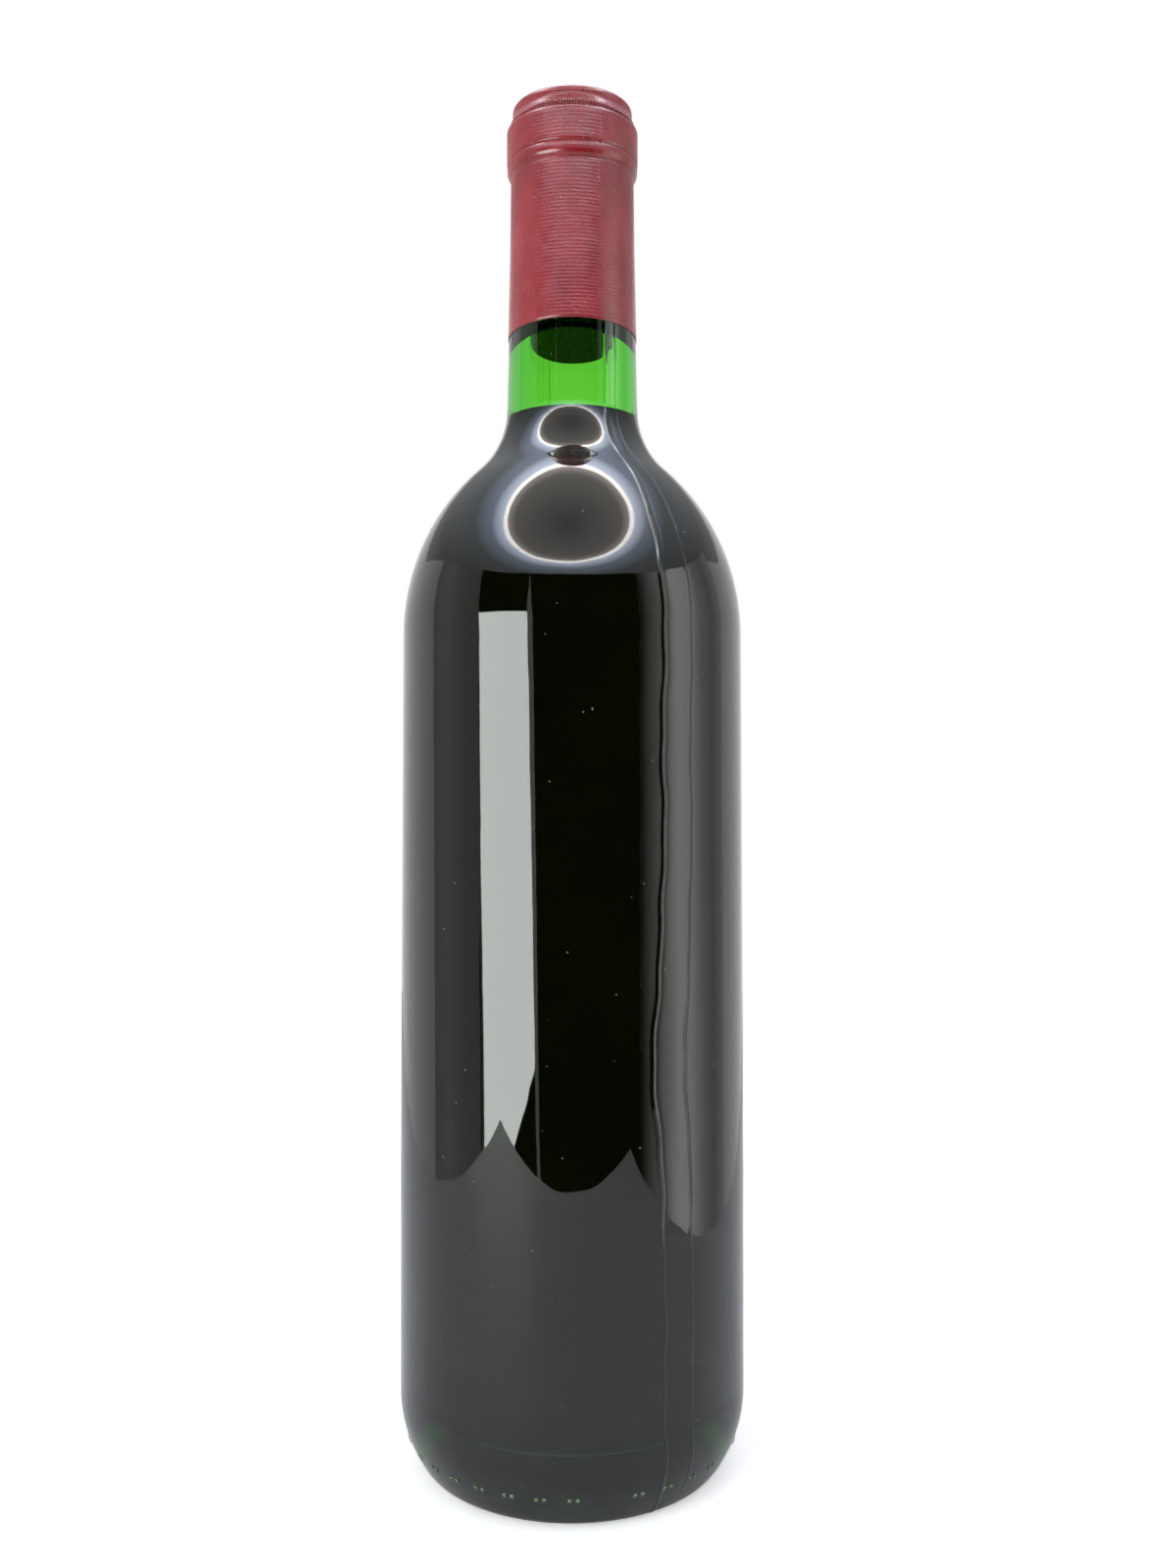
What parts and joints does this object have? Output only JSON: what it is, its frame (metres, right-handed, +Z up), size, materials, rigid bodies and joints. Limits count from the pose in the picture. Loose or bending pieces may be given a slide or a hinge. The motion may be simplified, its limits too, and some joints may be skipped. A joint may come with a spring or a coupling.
{
  "type": "wine bottle",
  "caption": "Straight-sided green glass wine bottle with rounded shoulders, filled with red wine and closed under a red capsule.",
  "frame": {"origin": "centre of the ring that the bottle stands on", "axes": "+Z up along the bottle's axis, from the foot to the mouth; +X to the right and +Y away, seen from the side with both mould seams just right of the middle"},
  "size_m": [0.0762, 0.0762, 0.3],
  "materials": {
    "bottle_glass": "smooth bottle-green glass with mould seams",
    "red_wine": "dark red wine, clear but nearly opaque at this depth",
    "capsule_film": "satin dark red shrink film"
  },
  "bodies": {
    "root": {"glass": "bottle_glass", "wine": "red_wine", "capsule": "capsule_film"}
  },
  "joints": []
}
